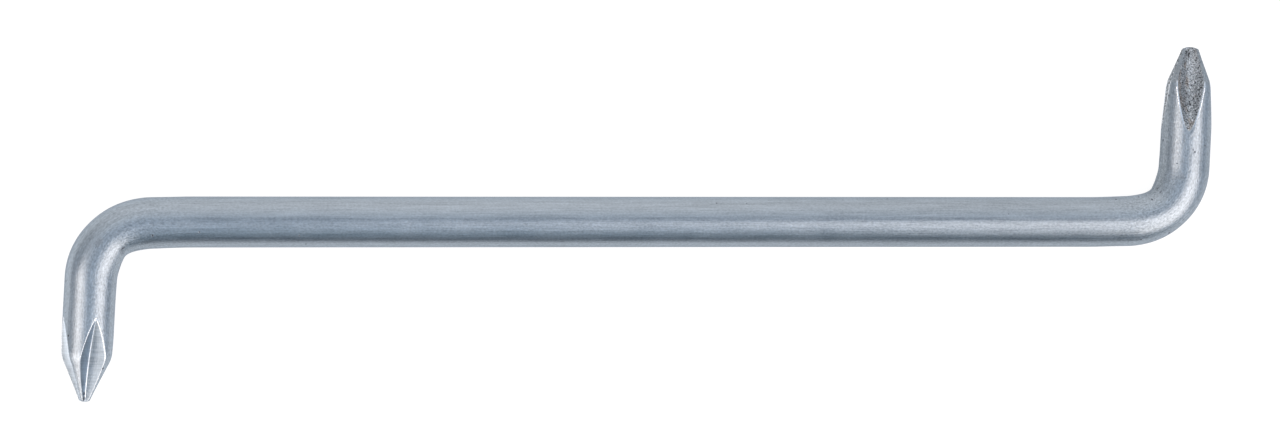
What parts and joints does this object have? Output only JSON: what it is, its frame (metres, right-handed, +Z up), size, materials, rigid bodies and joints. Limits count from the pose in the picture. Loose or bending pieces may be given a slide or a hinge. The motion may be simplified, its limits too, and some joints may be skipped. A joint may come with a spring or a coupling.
{
  "type": "offset screwdriver",
  "caption": "Offset screwdriver: a round steel bar bent near both ends in opposite directions, with a cross tip on each short leg, for turning screws in tight spaces.",
  "frame": {"origin": "on the surface that the bar lies on, under the middle of the shank", "axes": "+X along the shank towards the large end, +Y the way the large leg points, +Z up from the surface that the bar lies flat on"},
  "size_m": [0.1386, 0.0423, 0.006],
  "materials": {
    "satin_plating": "satin chrome plating with fine lengthwise drawing lines, a few tiny pits and a cool grey tint",
    "small_tip_grind": "ground flutes under the same satin plating, with bright worn edges",
    "large_tip_grind": "ground flutes and cone left dull and grainy, as if blasted, on a satin plated bar"
  },
  "bodies": {
    "root": {"shank": "satin_plating", "small_bend": "satin_plating", "small_leg": "satin_plating", "small_tip": "small_tip_grind", "large_bend": "satin_plating", "large_leg": "satin_plating", "large_tip": "large_tip_grind"}
  },
  "joints": []
}
